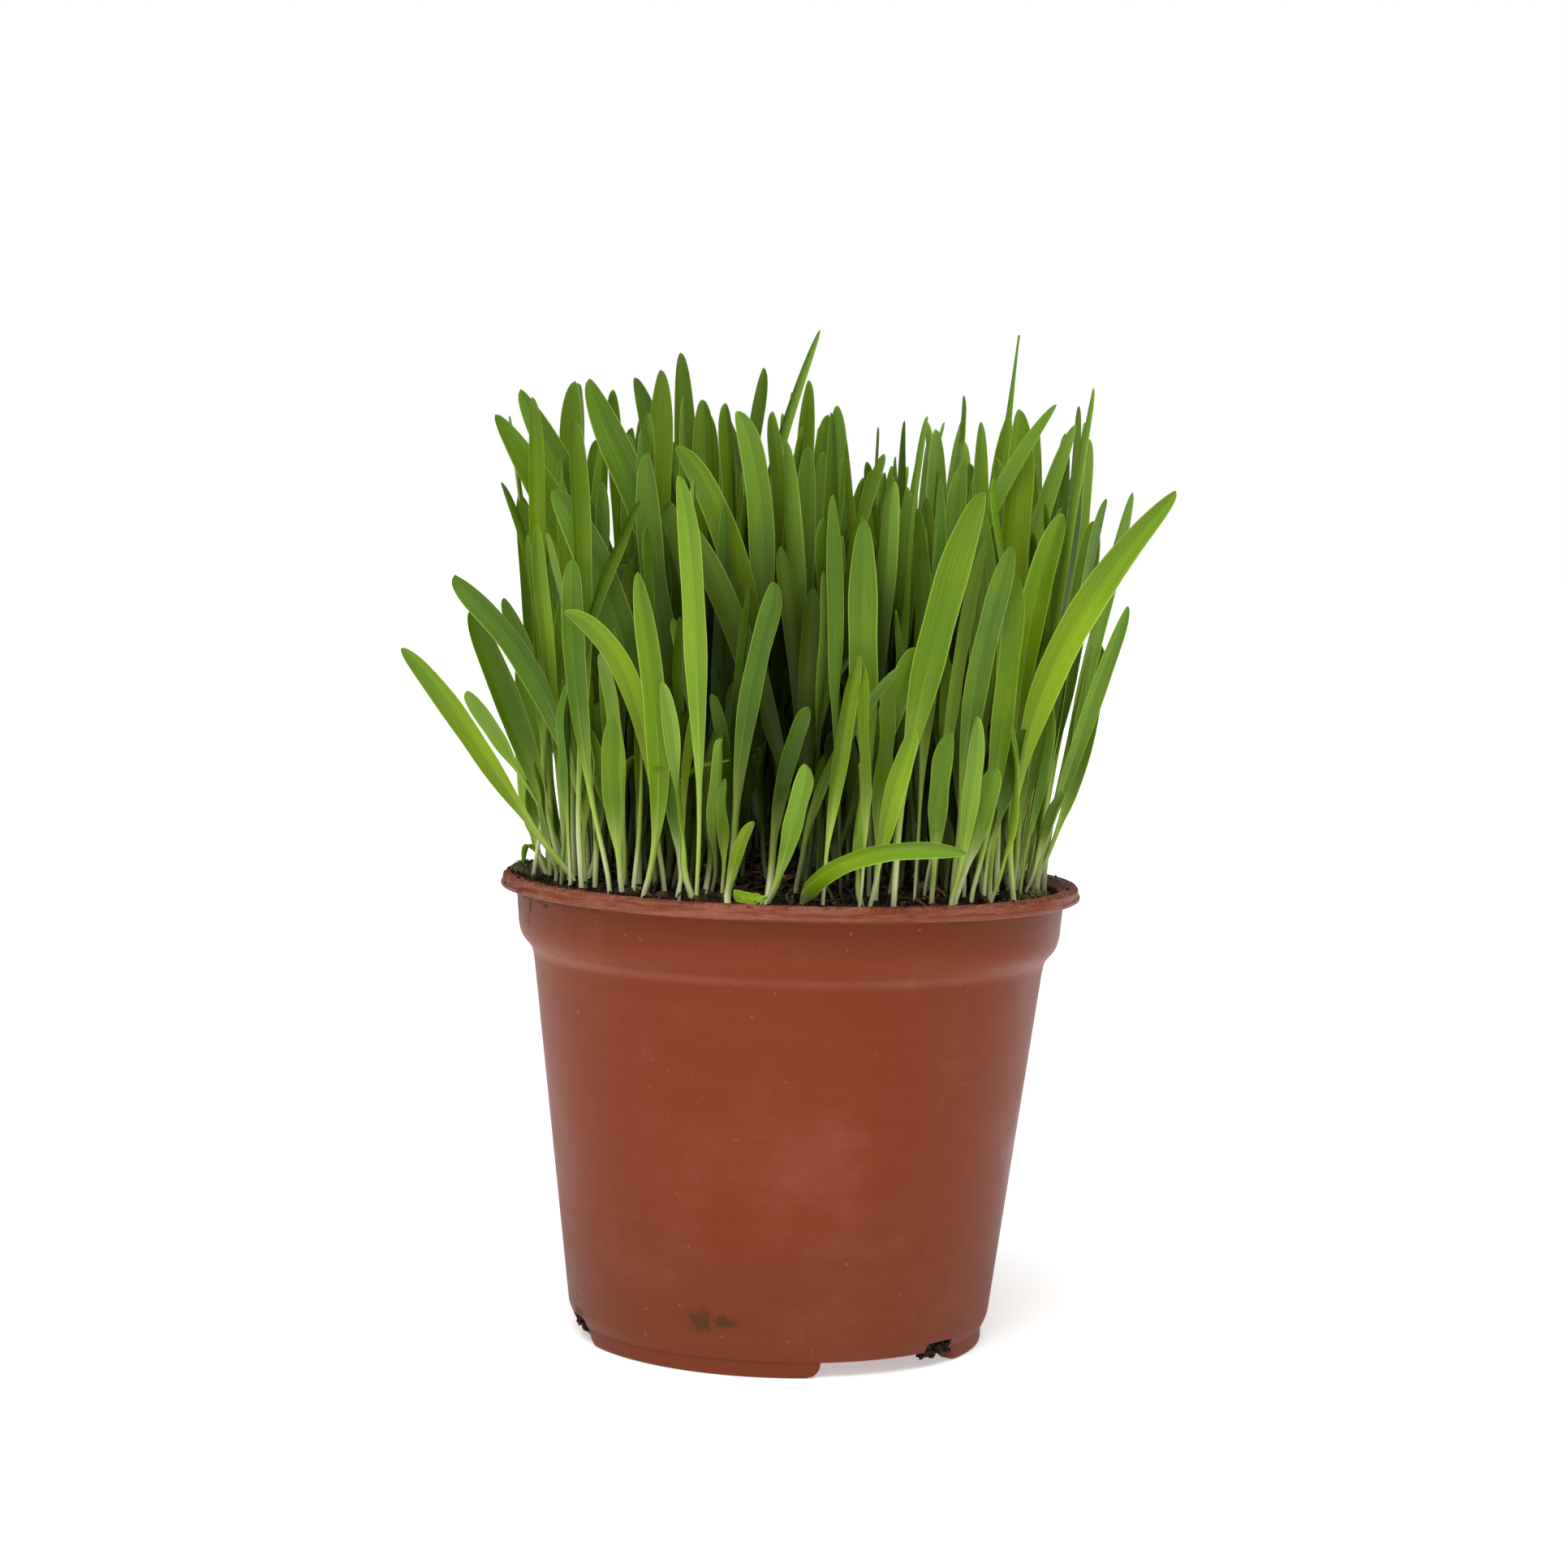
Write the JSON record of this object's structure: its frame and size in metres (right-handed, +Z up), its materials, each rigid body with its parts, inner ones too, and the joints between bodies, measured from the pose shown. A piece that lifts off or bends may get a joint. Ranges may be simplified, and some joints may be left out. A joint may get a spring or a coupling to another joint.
{
  "type": "wheatgrass pot",
  "caption": "Round plastic nursery pot on feet, filled with potting soil and a dense upright clump of young wheatgrass, ready to stand on a flat surface.",
  "frame": {"origin": "centre of the pot's ring of feet, on the surface that the pot stands on", "axes": "+Z up along the pot's axis; -Y is the front, where the soil shows between the shoots and one leaf lies over the rim"},
  "size_m": [0.1525, 0.123, 0.2091],
  "materials": {
    "pot_plastic": "satin",
    "potting_soil": "matte",
    "grass": "satin"
  },
  "bodies": {
    "root": {"pot": "pot_plastic", "soil": "potting_soil", "tuft_01": "grass", "tuft_02": "grass", "tuft_03": "grass", "tuft_04": "grass", "tuft_05": "grass", "tuft_06": "grass", "tuft_07": "grass", "tuft_08": "grass", "tuft_09": "grass", "tuft_10": "grass", "tuft_11": "grass", "tuft_12": "grass", "tuft_13": "grass", "tuft_14": "grass", "tuft_15": "grass", "tuft_16": "grass", "tuft_17": "grass", "tuft_18": "grass", "tuft_19": "grass", "tuft_20": "grass", "tuft_21": "grass", "tuft_22": "grass", "tuft_23": "grass", "tuft_24": "grass", "tuft_25": "grass", "tuft_26": "grass", "tuft_27": "grass", "tuft_28": "grass", "tuft_29": "grass", "tuft_30": "grass", "tuft_31": "grass", "tuft_32": "grass", "tuft_33": "grass", "tuft_34": "grass", "tuft_35": "grass", "tuft_36": "grass", "tuft_37": "grass"}
  },
  "joints": []
}
